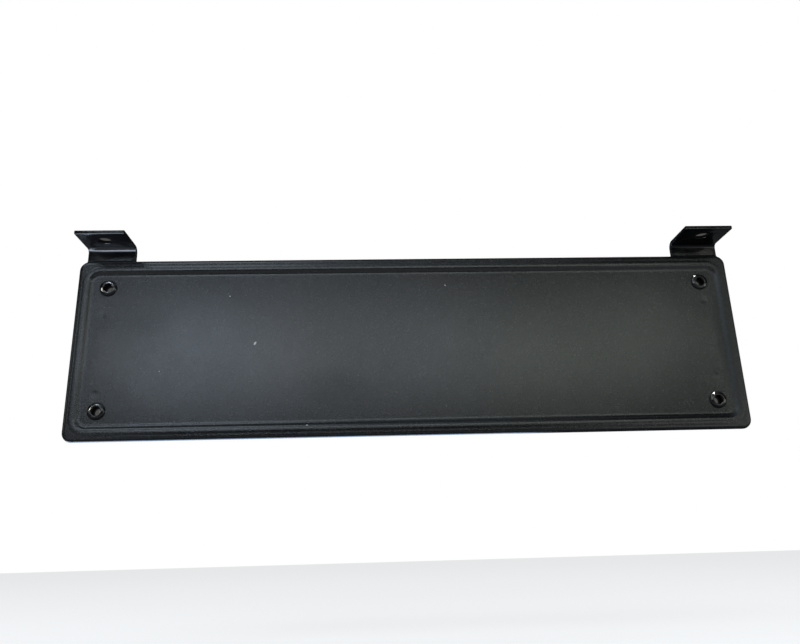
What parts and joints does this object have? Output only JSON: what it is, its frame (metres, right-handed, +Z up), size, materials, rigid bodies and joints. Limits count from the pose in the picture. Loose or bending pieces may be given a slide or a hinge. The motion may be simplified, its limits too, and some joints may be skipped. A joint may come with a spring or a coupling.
{
  "type": "number plate holder",
  "caption": "Wide black sheet-steel number plate holder with a pressed border and a sunken field, hung at its ends from flat bars folded forward into leaves with bolt holes.",
  "frame": {"origin": "midway between the two leaf holes, on the upper face of the leaves, which bolts up against the vehicle", "axes": "+Z up out of the leaves' upper faces, +X to the right as seen from the front along the panel's length, and the panel's front faces -Y"},
  "size_m": [0.54, 0.0367, 0.1622],
  "materials": {
    "panel_paint": "satin black paint with a slight blue-grey cast, with dust, small light specks and faint marks",
    "hanger_paint": "satin black paint on flat bar",
    "rivet_paint": "satin black paint, thin and lighter on the rolled rings"
  },
  "bodies": {
    "root": {"panel": "panel_paint", "hanger_left": "hanger_paint", "hanger_right": "hanger_paint", "rivet_top_left": "rivet_paint", "rivet_top_right": "rivet_paint", "rivet_bottom_left": "rivet_paint", "rivet_bottom_right": "rivet_paint"}
  },
  "joints": []
}
